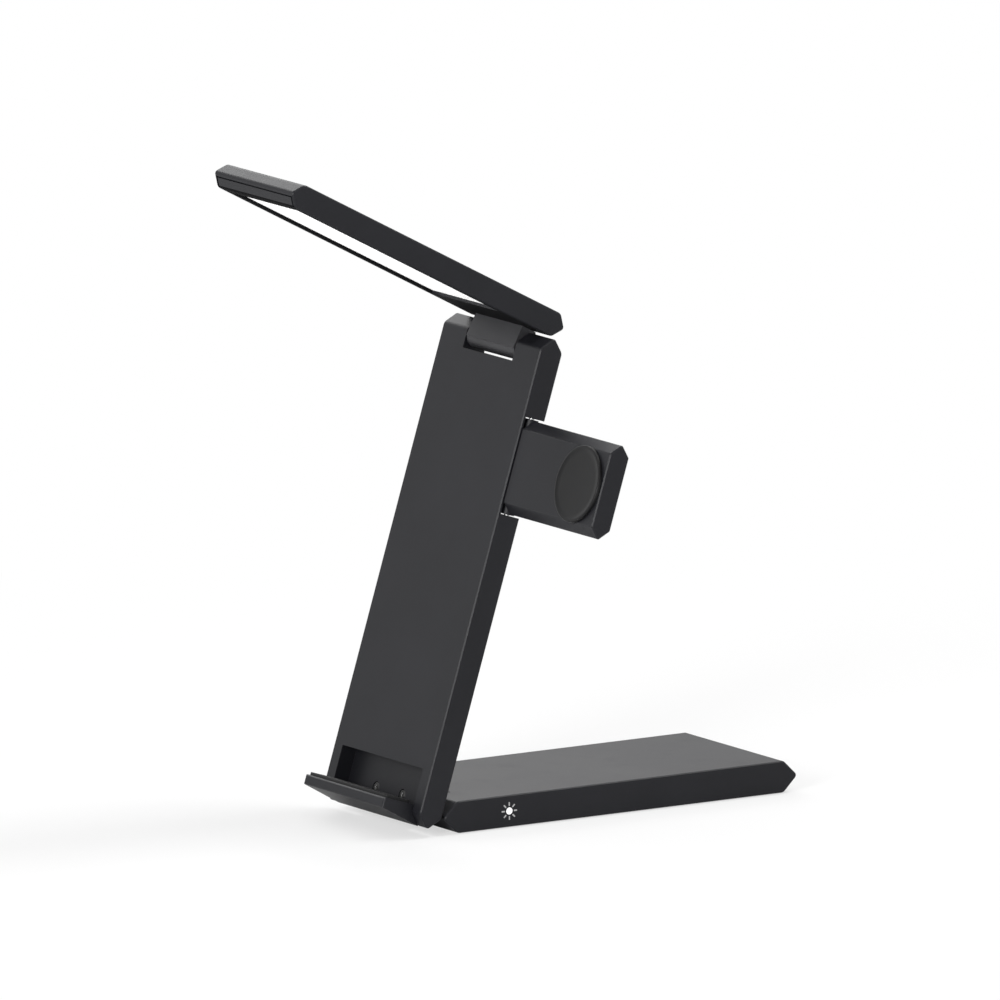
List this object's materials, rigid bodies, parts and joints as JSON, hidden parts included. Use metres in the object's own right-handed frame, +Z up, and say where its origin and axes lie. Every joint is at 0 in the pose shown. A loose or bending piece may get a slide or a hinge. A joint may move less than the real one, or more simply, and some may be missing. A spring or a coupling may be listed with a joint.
{
  "type": "folding wireless charging stand with lamp",
  "caption": "Folding charging stand: flat base, leaning phone panel with fold-out ledge, swing-out watch arm and a folding lamp on top.",
  "frame": {"origin": "middle of the base's length and width, on the underside of its foot pad", "axes": "+Z up, the phone faces -Y, the watch arm points to +X"},
  "size_m": [0.1274, 0.2043, 0.2397],
  "materials": {
    "shell_charcoal": "fine satin moulding",
    "pad_rubber": "matt",
    "ballast_steel": "rolled",
    "board_green": "solder mask",
    "inlet_steel": "stamped",
    "coil_copper": "enamelled wire",
    "ferrite_grey": "sintered",
    "symbol_white": "light guide",
    "pin_steel": "ground",
    "screw_steel": "blackened",
    "puck_black": "smooth",
    "diffuser_white": "frosted",
    "light_board_white": "white mask",
    "led_yellow": "cast",
    "magnet_nickel": "plated"
  },
  "bodies": {
    "base": {"base_lower_shell": "shell_charcoal", "base_upper_shell": "shell_charcoal", "base_foot_pad": "pad_rubber", "base_ballast": "ballast_steel", "base_circuit_board": "board_green", "usb_c_socket": "inlet_steel", "earbud_coil": "coil_copper", "earbud_ferrite": "ferrite_grey", "touch_key_symbol": "symbol_white", "touch_key_board": "board_green", "base_screws": "screw_steel", "base_hinge_pin": "pin_steel"},
    "phone_panel": {"panel_front_plate": "shell_charcoal", "panel_rear_tray": "shell_charcoal", "panel_hinge_block": "shell_charcoal", "panel_hinge_screws": "screw_steel", "phone_coil": "coil_copper", "phone_ferrite": "ferrite_grey", "panel_circuit_board": "board_green", "lamp_hinge_pin": "pin_steel", "ledge_pin": "pin_steel", "watch_arm_pin": "pin_steel"},
    "phone_ledge": {"ledge": "shell_charcoal", "ledge_pad": "pad_rubber"},
    "lamp": {"lamp_top_shell": "shell_charcoal", "lamp_bottom_frame": "shell_charcoal", "lamp_diffuser": "diffuser_white", "lamp_light_board": "light_board_white", "lamp_led_chips": "led_yellow", "lamp_hinge_block": "shell_charcoal", "lamp_hinge_screws": "screw_steel"},
    "watch_arm": {"arm_front_shell": "shell_charcoal", "arm_rear_shell": "shell_charcoal", "watch_puck": "puck_black", "watch_coil": "coil_copper", "watch_magnet": "magnet_nickel", "watch_ferrite": "ferrite_grey"}
  },
  "joints": [
    {"name": "panel_fold", "type": "hinge", "parent": "base", "child": "phone_panel", "pos_m": [0, -0.0678, 0.0062], "axis": [1, 0, 0], "range_deg": [-72, 0]},
    {"name": "lamp_fold", "type": "hinge", "parent": "phone_panel", "child": "lamp", "pos_m": [0, -0.02776, 0.16969], "axis": [1, 0, 0], "range_deg": [-79, 100]},
    {"name": "ledge_fold", "type": "hinge", "parent": "phone_panel", "child": "phone_ledge", "pos_m": [0, -0.0817, 0.00888], "axis": [1, 0, 0], "range_deg": [-90, 0]},
    {"name": "watch_swing", "type": "hinge", "parent": "phone_panel", "child": "watch_arm", "pos_m": [0.0311, -0.04004, 0.13004], "axis": [0, 0.3057, 0.9521], "range_deg": [0, 180]}
  ]
}
